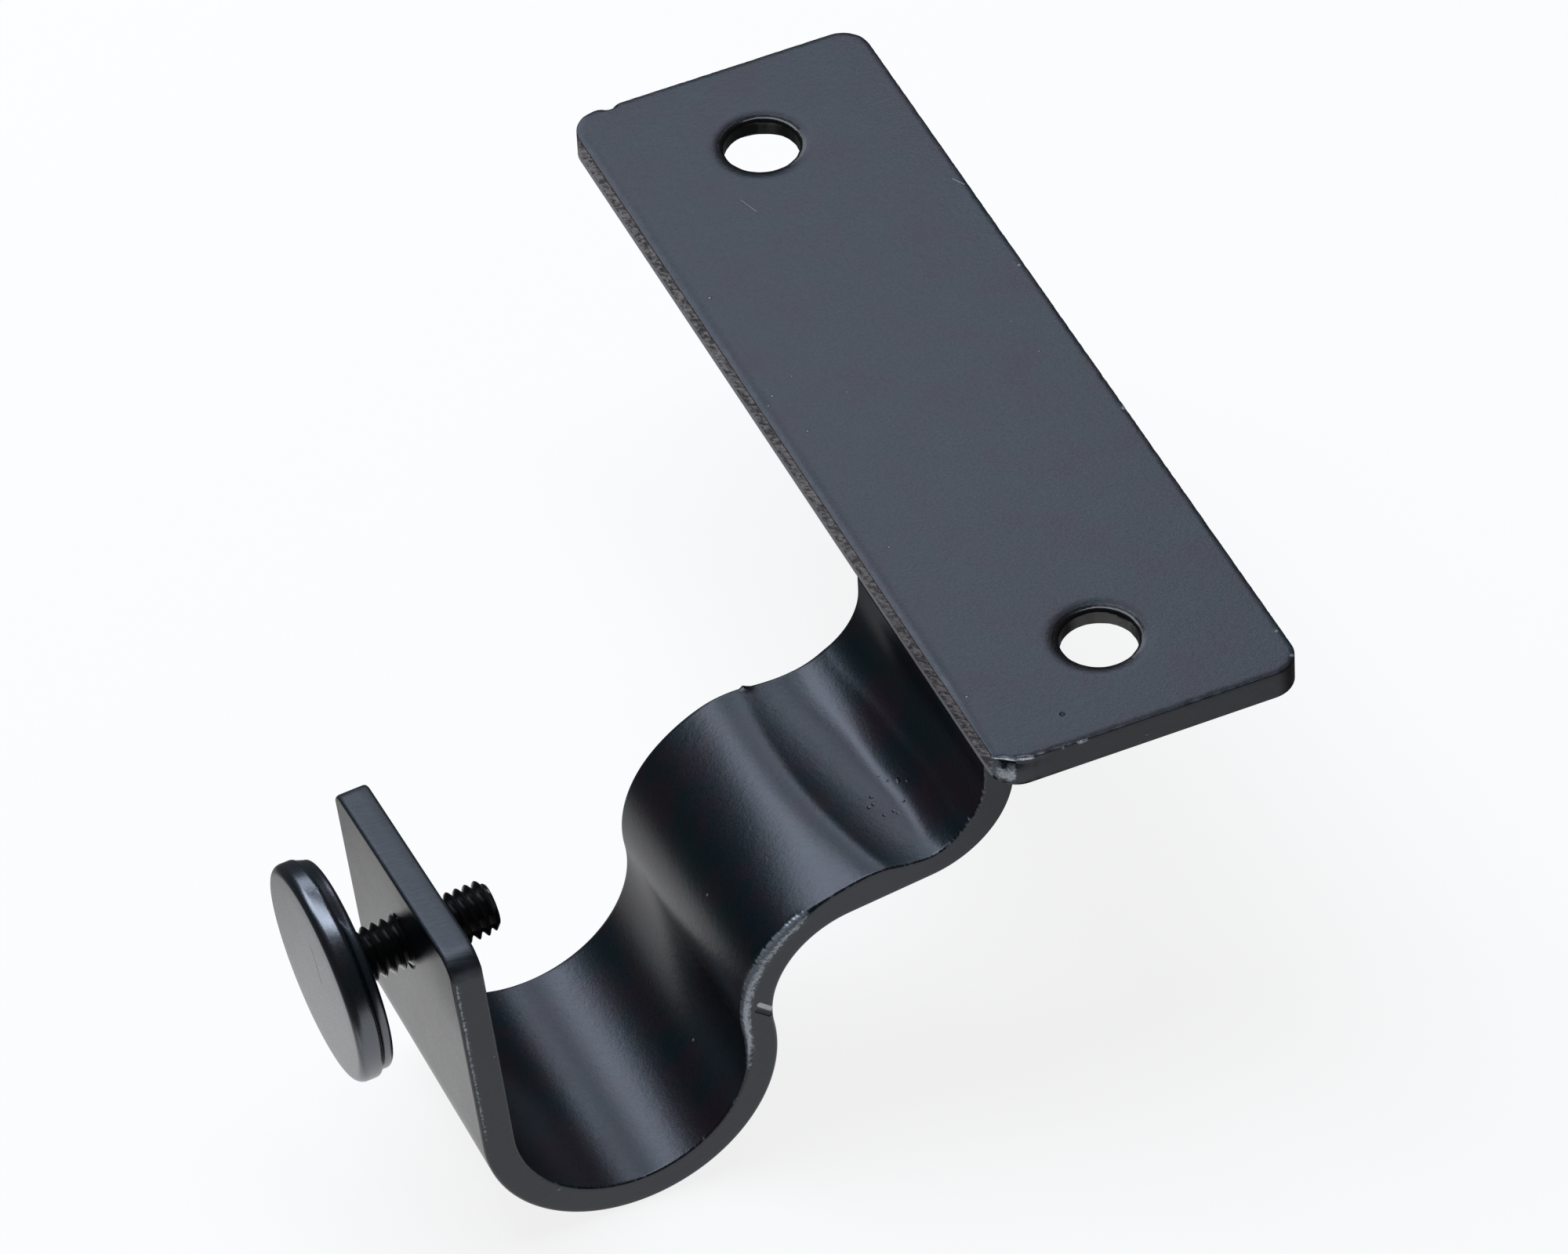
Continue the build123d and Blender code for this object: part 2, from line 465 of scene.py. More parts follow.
def sharp_lip(outline, normals):
    """The outline with a sharp near left corner, as the top's lip has it, and where that corner is."""
    corner = np.minimum(-normals[:, 0], -normals[:, 1]) > 0.02
    turned = np.degrees(np.arctan2(-normals[:, 1], -normals[:, 0])) / 90
    start = (PLATE_LOW.x, PLATE_LOW.y + CORNER_RADIUS)
    tip = (PLATE_LOW.x - 0.06, PLATE_LOW.y + 1.22)
    end = (PLATE_LOW.x + CORNER_RADIUS, PLATE_LOW.y)
    cut = np.column_stack([np.interp(turned, (0.0, 0.25, 1.0), way) for way in zip(start, tip, end)])
    bulge = 0.16 * np.sin(pi * np.clip((turned - 0.25) / 0.75, 0, 1))
    return np.where(corner[:, None], cut + normals * bulge[:, None], outline), corner


def edge_rows(left):
    """Rows over the plate's edge, from top to underside, rolled most at its left: (inset, height, kind)."""
    roll_depth = 0.035 + 0.11 * left
    roll_width = 0.5 + 0.6 * left
    side_top = -roll_depth - PLATE_ARRIS
    side_bottom = -PLATE_THICKNESS + PLATE_LOW_ROUND
    rows = [(1.9, 0.0, "top"), (1.5, 0.0, "top")]
    for share in np.linspace(0.0, 1.0, 7):
        rows.append((PLATE_ARRIS + roll_width * (1 - share), -roll_depth * share ** 2.2, "top"))
    for turn in np.linspace(0, pi / 2, 5)[1:]:
        rows.append((PLATE_ARRIS * (1 - sin(turn)), -roll_depth - PLATE_ARRIS * (1 - cos(turn)), "arris"))
    for share in np.linspace(0.0, 1.0, 9)[1:]:
        rows.append((0.0, side_top + (side_bottom - side_top) * share, "side"))
    for turn in np.linspace(0, pi / 2, 7)[1:]:
        rows.append((PLATE_LOW_ROUND * (1 - cos(turn)), side_bottom - PLATE_LOW_ROUND * sin(turn), "low"))
    rows.append((PLATE_LOW_ROUND + 1.2, -PLATE_THICKNESS, "low"))
    return rows


def edge_raggedness(outline, normals, length, near_chips):
    """How far the plate's top edge is broken away round its outline, with the notch in its far end."""
    ragged = np.array([
        0.030 * waver(s, scale=0.7, seed=3) + 0.022 * waver(s, scale=2.3, seed=9) for s in length])
    notch = 0.20 * np.exp(-((outline[:, 0] + 8.2) / 0.45) ** 2) * (normals[:, 1] > 0.5)
    return np.abs(ragged) * (1 + 4.5 * near_chips) + notch


def plate_edge(outline, normals, left_side):
    """Points of the plate's edge, how far the coat is off each (with a painted highlight at the near left
    corner), and the kind of each row.
    """
    lip, corner = sharp_lip(outline, normals)
    length = np.concatenate([[0], np.cumsum(np.linalg.norm(np.diff(outline, axis=0), axis=1))])
    from_corner = np.hypot(outline[:, 0] - PLATE_LOW.x, outline[:, 1] - PLATE_LOW.y)
    near_left = np.exp(-(from_corner / 2.6) ** 2)
    near_chips = smooth_step(-2.0, -6.0, outline[:, 0]) * (normals[:, 1] < -0.5)
    ragged = edge_raggedness(outline, normals, length, near_chips)
    points, worn, kinds = [], [], []
    for inset, height, kind in edge_rows(left_side * smooth_step(1.0, 9.0, from_corner)):
        if kind == "top":
            share = np.clip(1 - (inset - PLATE_ARRIS) / 0.5, 0, 1) ** 2
        else:
            share = {"arris": 1.0, "side": 0.45, "low": 0.0}[kind]
        inset = inset + share * ragged * 1.4
        if kind != "side":
            height = height - share * ragged * 0.8
        if kind in ("side", "low"):
            inset = inset + 0.32 * near_left * smooth_step(-1.1, -0.35, height)
        edge = lip if kind in ("top", "arris") else outline
        points.extend(np.column_stack([edge - normals * inset[:, None], height]))
        worn.extend(plate_wear_and_highlight(outline, normals, height, kind, near_left * corner, near_chips, length))
        kinds.append(kind)
    return points, worn, kinds


def plate_holes(points, faces, finishes, segments=112):
    """Adds both screw holes, and says which points are their rings at the plate's top and underside."""
    section = hole_section()
    top_rings, low_rings = [], []
    for centre_y in (-HOLE_SPACING / 2, HOLE_SPACING / 2):
        first = len(points)
        for radius, height, ragged in section:
            for angle in circle_angles(segments):
                grown = radius + ragged * 0.03 * waver(cos(angle) * 6, sin(angle) * 6, seed=centre_y)
                points.append((grown * cos(angle), centre_y + grown * sin(angle), height))
        made = grid_faces(len(section), segments, first)
        faces.extend(made)
        finishes.extend(HOLE_WALL if section[i // segments][2] > 0.5 else COATED for i in range(len(made)))
        top_rings.append(first + np.arange(segments))
        low_rings.append(first + (len(section) - 1) * segments + np.arange(segments))
    return top_rings, low_rings


def build_plate(materials):
    """Plate with its rolled and chipped top edge, sheared sides and countersunk holes."""
    outline, normals = plate_outline()
    left_side = np.clip((-normals[:, 0] - 0.5) * 2, 0, 1)
    points, worn, kinds = plate_edge(outline, normals, left_side)
    count = len(outline)
    faces = grid_faces(len(kinds), count)
    on_side = np.repeat(kinds[1:], count) == "side"
    on_left = np.tile(left_side, len(kinds) - 1) > 0.94
    finishes = list(np.where(on_left & on_side, SHEARED, COATED))
    top_rings, low_rings = plate_holes(points, faces, finishes)
    top_edge = np.arange(count)
    low_edge = top_edge + (len(kinds) - 1) * count
    for rings, height in (([top_edge, *top_rings], 0.0), ([low_edge, *low_rings], -PLATE_THICKNESS)):
        add_faces(faces, finishes, fill_between(
            points, rings, lambda p: (p[0], p[1]), lambda x, y: (x, y, height), plate_grid()))
    return finished_piece("plate_steel", points, faces, materials, finishes, worn)


def plate_wear_and_highlight(outline, normals, height, kind, corner, near_chips, length):
    """How far the coat is off along the plate's edge, in bright chips, and below the near left lip, where the
    heart-shaped patch is partly rubbed coat and partly a painted highlight on the rounded corner.
    """
    if kind == "arris":
        chips = np.array([waver(s, scale=1.1, seed=21) for s in length])
        from_corner = np.hypot(outline[:, 0] - PLATE_LOW.x, outline[:, 1] - PLATE_LOW.y)
        bright = near_chips * smooth_step(0.05, 0.25, chips) * smooth_step(7.5, 5.5, from_corner)
        return 2.0 * np.maximum(bright, smooth_step(0.62, 0.9, corner))
    # Painted highlight: the heart-shaped patch on the near left corner, partly rubbed coat.
    if kind == "side":
        middle = np.exp(-((height + 1.25) / 0.80) ** 4)
        split = np.exp(-((outline[:, 0] - PLATE_LOW.x - 0.55) / 0.16) ** 2) * smooth_step(-1.3, -0.9, height)
        turned = smooth_step(0.30, 0.55, -normals[:, 0]) * smooth_step(0.10, 0.25, -normals[:, 1])
        return smooth_step(0.35, 0.75, corner) * middle * (1 - 0.8 * split) * turned
    return np.zeros(len(outline))


def plate_grid(spacing=1.6, margin=3.4, clearance=3.0):
    """Points inside the plate's flat faces, clear of its edge and holes."""
    reach_x = (PLATE_HIGH.x - PLATE_LOW.x) / 2 - margin
    reach_y = (PLATE_HIGH.y - PLATE_LOW.y) / 2 - margin
    return [(x, y)
            for x in np.arange(-reach_x, reach_x, spacing)
            for y in np.arange(-reach_y, reach_y, spacing)
            if hypot(x, abs(y) - HOLE_SPACING / 2) > HOLE_RADIUS + clearance]


def hole_section():
    """A screw hole from the plate's top to its bottom, as (radius, height, how ragged)."""
    border = HOLE_RADIUS + 2.2
    roll, roll_reach, arris = 0.10, 1.34, 0.36
    rows = [(border, 0.0, 0.0), (HOLE_RADIUS + 1.6, 0.0, 0.0)]
    for share in np.linspace(0.0, 1.0, 9)[1:]:
        radius = HOLE_RADIUS + arris + (roll_reach - arris) * (1 - share)
        rows.append((radius, -roll * share ** 2.4, share ** 4))
    for turn in np.linspace(0, pi / 2, 8)[1:]:
        rows.append((HOLE_RADIUS + arris * (1 - sin(turn)), -roll - arris * (1 - cos(turn)), 1.0))
    for share in np.linspace(0.0, 1.0, 5)[1:]:
        rows.append((HOLE_RADIUS, -roll - arris - (HOLE_LAND - roll - arris) * share, 1.0))
    for share in np.linspace(0.0, 1.0, 5)[1:]:
        rows.append((HOLE_RADIUS + (SINK_RADIUS - HOLE_RADIUS) * share,
                     -HOLE_LAND - (PLATE_THICKNESS - HOLE_LAND) * share, 0.6))
    rows.append((border, -PLATE_THICKNESS, 0.0))
    return rows


def fill_between(points, rings, flatten, lift=None, inner=()):
    """Triangles inside the first ring and outside the round ones after it."""
    order = [int(index) for ring in rings for index in ring]
    flat = [Vector(flatten(points[index])) for index in order]
    hole_of = {int(index): number for number, ring in enumerate(rings[1:]) for index in ring}
    edges, start = [], 0
    for ring in rings:
        edges.extend((start + i, start + (i + 1) % len(ring)) for i in range(len(ring)))
        start += len(ring)
    for place in inner:
        order.append(len(points))
        flat.append(Vector(place))
        points.append(lift(*place))
    kept = []
    for triangle in delaunay_2d_cdt(flat, edges, [], 1, 1e-7)[2]:
        a, b, c = (flat[i] for i in triangle)
        corners = [order[i] for i in triangle]
        in_hole = {hole_of.get(index) for index in corners}
        if abs((b - a).cross(c - a)) > 1e-7 and (len(in_hole) > 1 or None in in_hole):
            kept.append(corners)
    return kept


# Arm


def arm_rows(step=0.3):
    """Rows along the strip's middle line, as (x, z, how far along, heading), and where the tab starts."""
    place = np.array((PLATE_LOW.x + HALF_STRIP, PLATE_LOW.z))
    heading, along = radians(-90), 0.0
    rows = [(*place, along, heading)]
    for piece in ARM_STEPS:
        turn = radians(piece[1]) if len(piece) > 1 else 0.0
        length = piece[0] * abs(turn) if turn else piece[0]
        count = max(2, round(length / step))
        shares = [i / count for i in range(1, count + 1)]
        if piece is ARM_STEPS[-1]:
            tab_start = along
            shares = [share for share in shares if share * length < length - END_ROUND - 0.1]
            shares += [1 - END_ROUND / length * (1 - sin(t)) for t in np.linspace(0, pi / 2, 6)]
        for share in shares:
            now = heading + turn * share
            if turn:
                signed = piece[0] * np.sign(turn)
                across = np.array((-sin(heading) + sin(now), cos(heading) - cos(now)))
                x, z = place + signed * across
            else:
                x, z = place + length * share * np.array((cos(heading), sin(heading)))
            rows.append((x, z, along + length * share, now))
        place, heading, along = np.array(rows[-1][:2]), heading + turn, along + length
    return np.array(rows), tab_start


def strip_section(near_radius=ROLLED_EDGE, flat_from=1.7):
    """The strip's outline once round, from its near side's middle, as (across, towards the inner face)."""
    corners = [(-1, 1, near_radius), (1, 1, ROLLED_EDGE), (1, -1, SHARP_EDGE), (-1, -1, NEAR_OUTER_EDGE)]
    outline = []
    for number, (side, face, radius) in enumerate(corners):
        quarter = [(0.0, depth) for depth in np.linspace(0, HALF_STRIP - radius, 4)[:-1]]
        for turn in np.linspace(0, pi / 2, 8):
            quarter.append((radius * (1 - cos(turn)), HALF_STRIP - radius * (1 - sin(turn))))
        for share in (0.12, 0.28, 0.5, 0.74, 1.0):
            quarter.append((radius + (flat_from - radius) * share, HALF_STRIP))
        quarter += [(depth, HALF_STRIP) for depth in np.linspace(flat_from, HALF_WIDTH, 14)[1:]]
        quarter = [(side * (HALF_WIDTH - depth), face * height) for depth, height in quarter]
        outline += quarter[:-1] if number % 2 == 0 else quarter[:0:-1]
    return np.array(outline)


def geometry_tree(name, inputs, output):
    """A new tree of geometry nodes, as its graph and the values of its named inputs."""
    tree = bpy.data.node_groups.new(name, "GeometryNodeTree")
    for label, kind in inputs:
        tree.interface.new_socket(label, in_out="INPUT", socket_type="NodeSocket" + kind)
    tree.interface.new_socket(output, in_out="OUTPUT", socket_type="NodeSocketGeometry")
    graph = Graph(tree)
    return graph, graph.node("NodeGroupInput").outputs


def bent_strip_tree():
    """Geometry nodes that sweep a section along a path with the section's width kept along Y."""
    inputs = [("Path", "Geometry"), ("Section", "Object"), ("Coat", "Material")]
    graph, given = geometry_tree("bent_strip", inputs, "Strip")
    section = graph.node("GeometryNodeObjectInfo", None, {"Object": given["Section"]}).outputs["Geometry"]
    level = graph.node("GeometryNodeSetCurveNormal", {"mode": "FREE"},
                       {"Curve": given["Path"], "Normal": (0.0, 1.0, 0.0)}).outputs[0]
    swept = graph.node("GeometryNodeCurveToMesh", None, {"Curve": level, "Profile Curve": section})
    graph.close_geometry(swept.outputs[0], given["Coat"])
    return graph.tree


def poly_curve(name, points, closed=False):
    data = bpy.data.curves.new(name, "CURVE")
    data.dimensions = "3D"
    spline = data.splines.new("POLY")
    spline.points.add(len(points) - 1)
    for point, place in zip(spline.points, points):
        point.co = (*place, 1.0)
    spline.use_cyclic_u = closed
    made = bpy.data.objects.new(name, data)
    bpy.context.scene.collection.objects.link(made)
    return made


def mesh_from_tree(made, tree, values):
    """The mesh that a tree makes from an object, with its inputs set by identifier. The object goes."""
    modifier = made.modifiers.new(tree.name, "NODES")
    modifier.node_group = tree
    names = {item.name: item.identifier for item in tree.interface.items_tree if item.in_out == "INPUT"}
    for name, value in values.items():
        modifier[names[name]] = value
    evaluated = made.evaluated_get(bpy.context.evaluated_depsgraph_get())
    mesh = bpy.data.meshes.new_from_object(evaluated)
    made.modifiers.remove(modifier)
    bpy.data.objects.remove(made)
    return mesh


def smooth_step(low, high, value):
    share = np.clip((value - low) / (high - low), 0, 1)
    return share * share * (3 - 2 * share)


def tab_height(across):
    """Height of the tab's sheared and rounded end above the tab's foot."""
    radius = np.where(np.asarray(across) < 0, TAB_NEAR_CORNER, TAB_FAR_CORNER)
    edge = np.clip(radius - (HALF_WIDTH - np.abs(across)), 0, radius)
    rounding = radius - np.sqrt(radius ** 2 - edge ** 2)
    return TAB_LENGTH - (across + HALF_WIDTH) * tan(TAB_CUT_SLOPE) - rounding


def near_edge_radius(along):
    """Roll of the near inner edge, widest where the strip was hammered over the hump."""
    worn = smooth_step(17.6, 20.5, along) * (1 - smooth_step(28, 36, along))
    return 0.20 + 0.36 * worn


def arris_wear(along):
    """How far the coat is rubbed off the near inner edge: most over the hump and down into the cup."""
    hump = smooth_step(18.2, 20.0, along) * (1 - smooth_step(29, 37, along))
    valley = 0.45 * (1 - smooth_step(9, 12, along))
    return np.maximum(hump, np.maximum(valley, 0.30))


def hollow_depth(along, across):
    """How deep the dent before the hump is: down to its bottom, up over a curved crease, back to the face."""
    bottom_blend, crease_blend = 0.02, 0.004
    fall_length = 3.0
    crease = 15.5 - 0.0105 * (across - 4.0) ** 2
    narrowing = smooth_step(-4.0, -HALF_WIDTH, across) + smooth_step(2.0, HALF_WIDTH, across)
    reach = 5.4 - 1.4 * narrowing
    middle = np.exp(-((across + 2.0) / 11.0) ** 2)
    deep = 0.29 + 0.50 * middle - 0.11 * smooth_step(-7.5, -HALF_WIDTH, across)
    raised = 0.23 + 0.27 * middle - 0.05 * smooth_step(4.0, 10.0, across)
    bottom = crease - reach
    falling = -deep * np.clip((along - bottom + fall_length) / fall_length, 0, 2) ** 1.2
    share = (along - bottom) / reach
    rising = -deep + (deep + raised) * np.clip(share, 0, 1.4) ** 1.9 + np.minimum(share, 0) * 2.0
    hollow = 0.5 * (falling + rising + np.sqrt((falling - rising) ** 2 + bottom_blend))
    beyond = np.clip(along - crease, 0, None)
    lip = raised * np.exp(-(beyond / 3.8) ** 2) + 0.13 * beyond * np.exp(-(beyond / 2.8) ** 2)
    return -0.5 * (hollow + lip - np.sqrt((hollow - lip) ** 2 + crease_blend))


def strip_directions(heading):
    """Out of the strip's inner face, and onward along the strip."""
    return np.array((sin(heading), 0.0, -cos(heading))), np.array((cos(heading), 0.0, sin(heading)))


def strip_points(rows, tab_start, base, swept):
    """Points of the swept strip with its rolled edges, dent and cut end, and how far the coat is off each,
    with a painted highlight along the tab's outer near edge.
    """
    points, worn = [], []
    from_side = base[:, 0] + HALF_WIDTH
    from_outer = base[:, 1] + HALF_STRIP - NEAR_OUTER_EDGE
    near_arris = np.exp(-(np.hypot(from_side, base[:, 1] - HALF_STRIP) / 0.36) ** 2)
    # Painted highlight along the tab's outer near edge, partly rubbed coat.
    outer_edge_highlight_and_wear = 0.62 * np.exp(-(np.hypot(from_side, from_outer) / 0.11) ** 2)
    for (x, z, along, heading), ring in zip(rows, swept):
        inward, onward = strip_directions(heading)
        target = strip_section(near_edge_radius(along))
        shift_across, shift_out = (target - base).T
        inner_side = smooth_step(-0.4, 1.0, target[:, 1] / HALF_STRIP)
        shift_out = shift_out - hollow_depth(along, target[:, 0]) * inner_side
        burr = np.exp(-((along - 14.7) / 0.2) ** 2 - ((target[:, 0] - 10.4) / 0.25) ** 2)
        shift_out = shift_out + 0.34 * burr * inner_side
        shift_along = np.zeros(len(base))
        if along > tab_start:
            shift_along = (along - tab_start) * (tab_height(target[:, 0]) / TAB_LENGTH - 1)
            from_end = TAB_LENGTH - (along - tab_start)
            if from_end < END_ROUND:
                shrink = END_ROUND - sqrt(max(END_ROUND ** 2 - (END_ROUND - from_end) ** 2, 0))
                shift_out = shift_out - shrink * target[:, 1] / HALF_STRIP
        on_tab = smooth_step(tab_start - 4, tab_start + 4, along)
        worn.extend(np.maximum(near_arris * arris_wear(along), outer_edge_highlight_and_wear * on_tab))
        ring = ring + shift_out[:, None] * inward + shift_along[:, None] * onward
        ring[:, 1] += shift_across
        points.extend(ring)
    return points, worn


def close_tab_end(points, ring, last_row):
    """Faces over the strip's sheared end, with points inside its ring that follow the slope of the cut."""
    x, z, along, heading = last_row
    inward, upward = strip_directions(heading)
    tab_end = np.array((x, ARM_MIDDLE_Y, z))

    def flat_on_end(place):
        return place[1], float(np.dot(place - tab_end, inward))

    def on_tab_end(across, depth):
        drop = tab_height(across - ARM_MIDDLE_Y) - TAB_LENGTH
        return tab_end + (0.0, across - ARM_MIDDLE_Y, 0.0) + drop * upward + depth * inward

    near_steps, middle_steps = np.linspace(-10.5, -8.5, 14), np.arange(-8.0, 8.9, 0.8)
    steps = np.concatenate([near_steps, middle_steps, np.linspace(9.3, 10.5, 9)])
    grid = [(ARM_MIDDLE_Y + across, depth) for across in steps for depth in np.linspace(-0.75, 0.75, 7)]
    return fill_between(points, [ring], flat_on_end, on_tab_end, grid)


def build_arm(materials):
    """The bent strip with its rolled edges, its dent, the tab's sheared end and the screw's hole."""
    rows, tab_start = arm_rows()
    base = strip_section()
    columns = len(base)
    path = poly_curve("arm_path", [(x, ARM_MIDDLE_Y, z) for x, z, along, heading in rows])
    profile = poly_curve("strip_section", [(a, -b, 0.0) for a, b in base], closed=True)
    mesh = mesh_from_tree(path, bent_strip_tree(), {"Section": profile, "Coat": materials[COATED]})
    bpy.data.objects.remove(profile)
    swept = np.empty(len(mesh.vertices) * 3)
    mesh.vertices.foreach_get("co", swept)
    points, worn = strip_points(rows, tab_start, base, swept.reshape(len(rows), columns, 3))
    faces = grid_faces(len(rows), columns)
    sheared_rows = 3
    sheared = sheared_rows * columns
    finishes = [COATED] * (len(faces) - sheared) + [SHEARED] * sheared
    faces, finishes = open_screw_hole(points, faces, finishes, rows, base, tab_start)
    first_ring = np.arange(columns)
    last_ring = first_ring + (len(rows) - 1) * columns
    add_faces(faces, finishes, fill_between(points, [first_ring], lambda p: (p[1], p[0])))
    add_faces(faces, finishes, close_tab_end(points, last_ring, rows[-1]), SHEARED)
    add_faces(faces, finishes, weld_bead(points))
    return finished_piece("arm_strip", points, faces, materials, finishes, worn)


def open_screw_hole(points, faces, finishes, rows, base, tab_start, segments=72):
    """Cuts the screw's hole through the tab: a patch of both faces gives way to rims and the hole's wall."""
    columns = len(base)
    inward, upward = strip_directions(rows[-1][3])
    x, z = rows[np.argmin(np.abs(rows[:, 2] - tab_start))][:2]
    foot = np.array((x, ARM_MIDDLE_Y, z))
    axis_height = TAB_LENGTH - SCREW_DROP
    heights = (rows[:, 2] - tab_start) * (tab_height(0.0) / TAB_LENGTH)
    patch_height, patch_width = 3.2, 3.3
    patch_rows = [i for i in range(len(rows)) if abs(heights[i] - axis_height) < patch_height]
    low, high = patch_rows[0], patch_rows[-1]
    open_columns = {}
    for side in (1, -1):
        on_face = side * base[:, 1] > HALF_STRIP - 1e-6
        flat = np.flatnonzero(on_face & (np.abs(base[:, 0]) < patch_width))
        open_columns[side] = (int(flat[0]), int(flat[-1]))
    kept_faces, kept_finishes = [], []
    for number, (face, finish) in enumerate(zip(faces, finishes)):
        row, column = divmod(number, columns)
        inside = any(start <= column < end for start, end in open_columns.values())
        if not (low <= row < high and inside):
            kept_faces.append(face)
            kept_finishes.append(finish)
    rim = 0.16
    first = len(points)
    section = ((SCREW_HOLE_RADIUS + rim, HALF_STRIP), (SCREW_HOLE_RADIUS, HALF_STRIP - rim),
               (SCREW_HOLE_RADIUS, rim - HALF_STRIP), (SCREW_HOLE_RADIUS + rim, -HALF_STRIP))
    for radius, out in section:
        for angle in circle_angles(segments):
            beside = (0.0, radius * cos(angle), 0.0)
            points.append(foot + beside + (axis_height + radius * sin(angle)) * upward + out * inward)
    add_faces(kept_faces, kept_finishes, grid_faces(len(section), segments, first), HOLE_WALL)

    def flat_on_tab(place):
        return place[1] - ARM_MIDDLE_Y, float(np.dot(place - foot, upward))

    rims = first + np.arange(segments), first + 3 * segments + np.arange(segments)
    for side, ring in zip((1, -1), rims):
        start, end = open_columns[side]
        border = [low * columns + i for i in range(start, end + 1)]
        border += [row * columns + end for row in range(low + 1, high + 1)]
        border += [high * columns + i for i in range(end - 1, start - 1, -1)]
        border += [row * columns + start for row in range(high - 1, low, -1)]
        add_faces(kept_faces, kept_finishes, fill_between(points, [border, ring], flat_on_tab))
    return kept_faces, kept_finishes


def weld_bead(points, length=15.0, radius=1.0, segments=18):
    """Faces of the rippled weld bead in the hidden corner between the plate's underside and the strip."""
    first = len(points)
    count = 140
    ripple_length = 0.9
    for i in range(count + 1):
        along = length * (i / count - 0.5)
        from_end = length / 2 - abs(along)
        size = radius * sqrt(max(1 - max(1 - from_end / radius, 0) ** 2, 0.0004))
        for turn in np.linspace(pi, 2 * pi, segments):
            ripple = 0.05 * sin((along + 0.5 * sin(turn)) * 2 * pi / ripple_length)
            ripple += 0.03 * waver(along, turn, scale=1.3, seed=5)
            reach = size * (1 - 0.05 + ripple)
            points.append(np.array((PLATE_LOW.x + STRIP_THICKNESS + reach * cos(turn), ARM_MIDDLE_Y + along,
                                    PLATE_LOW.z + reach * sin(turn))))
    faces = grid_faces(count + 1, segments, first)
    faces.append([first + i for i in range(segments)])
    faces.append([first + count * segments + i for i in range(segments)])
    return faces


# Thumb screw


def screw_matrix():
    """The screw's frame in millimetres: Z outwards from the tab's outer face, X along the strip's width."""
    x, z, along, heading = arm_rows()[0][-1]
    out = Vector((-sin(heading), 0.0, cos(heading)))
    up = Vector((cos(heading), 0.0, sin(heading)))
    origin = Vector((x, ARM_MIDDLE_Y, z)) + out * HALF_STRIP - up * SCREW_DROP
    wide = Vector((0.0, 1.0, 0.0))
    turned = Matrix((wide, out.cross(wide), out)).transposed().to_4x4()
    return Matrix.Translation(origin) @ turned


def thread_tree(columns, rows_per_pitch):
    """Geometry nodes that wrap a grid into a threaded shank, its rows in line with the helix."""
    sizes = ("Pitch", "Crest", "Root", "Tip", "Top", "Tip Chamfer", "Run Out")
    inputs = [("Start", "Geometry"), *((name, "Float") for name in sizes), ("Coat", "Material")]
    graph, given = geometry_tree("threaded_shank", inputs, "Shank")
    pitch, crest, root, tip, top, chamfer, run_out = (Value(graph, given[name]) for name in sizes)
    turns = 2 + (HEAD_START - SCREW_TIP) / THREAD_PITCH
    rows = int(turns * rows_per_pitch) + 1
    grid = graph.node("GeometryNodeMeshGrid", None,
                      {"Size X": 1.0, "Size Y": 1.0, "Vertices X": columns + 1, "Vertices Y": rows + 1})
    place = graph.node("GeometryNodeInputPosition").outputs[0]
    parts = graph.node("ShaderNodeSeparateXYZ", None, {0: place}).outputs
    turn = Value(graph, parts[0]) + 0.5
    row = (Value(graph, parts[1]) + 0.5) * rows / rows_per_pitch
    height = (tip + pitch * (row - 1.5 + turn)).most(tip).least(top)
    wave = 1 - abs(row.maths("FRACT") * 2 - 1)
    ridge = wave.maths("SMOOTH_MIN", 0.86, 0.25).maths("SMOOTH_MAX", 0.10, 0.20)
    threaded = root + (crest - root) * (ridge - 0.05) / 0.80
    ending = ((height - top + run_out) / run_out).most(0.0)
    radius = threaded + (crest - NECK_RELIEF - threaded) * ending
    radius = radius.least(crest - chamfer + (height - tip))
    angle = turn * (2 * pi)
    wrapped = graph.node("ShaderNodeCombineXYZ", None, {
        0: radius * angle.maths("COSINE"), 1: radius * angle.maths("SINE"), 2: height}).outputs[0]
    shaped = graph.node("GeometryNodeSetPosition", None,
                        {"Geometry": grid.outputs[0], "Position": wrapped}).outputs[0]
    graph.close_geometry(shaped, given["Coat"])
    return graph.tree


def head_section():
    """Turned outline of flange and head, from the shank to near the front's middle, as (radius, z)."""
    outline = [(THREAD_CREST - NECK_RELIEF, HEAD_START), (2.3, HEAD_START), (4.5, HEAD_START)]

    def rounding(radius, z, size, start, end, count=7):
        for turn in np.linspace(radians(start), radians(end), count):
            outline.append((radius + size * cos(turn), z + size * sin(turn)))

    back_edge, front_edge, groove = 0.42, 0.68, 0.28
    rounding(FLANGE_RADIUS - FLANGE_EDGE, HEAD_START + FLANGE_EDGE, FLANGE_EDGE, -90, 0)
    rounding(FLANGE_RADIUS - FLANGE_EDGE, HEAD_BACK - FLANGE_EDGE, FLANGE_EDGE, 10, 72)
    outline.append((HEAD_RADIUS - back_edge - groove, HEAD_BACK))
    rounding(HEAD_RADIUS - back_edge, HEAD_BACK + back_edge, back_edge, -80, 0)
    rounding(HEAD_RADIUS - front_edge, HEAD_FRONT - front_edge, front_edge, 0, 90, 12)
    for share in (0.8, 0.55, 0.3, 0.1):
        outline.append(((HEAD_RADIUS - front_edge) * share, HEAD_FRONT))
    return outline


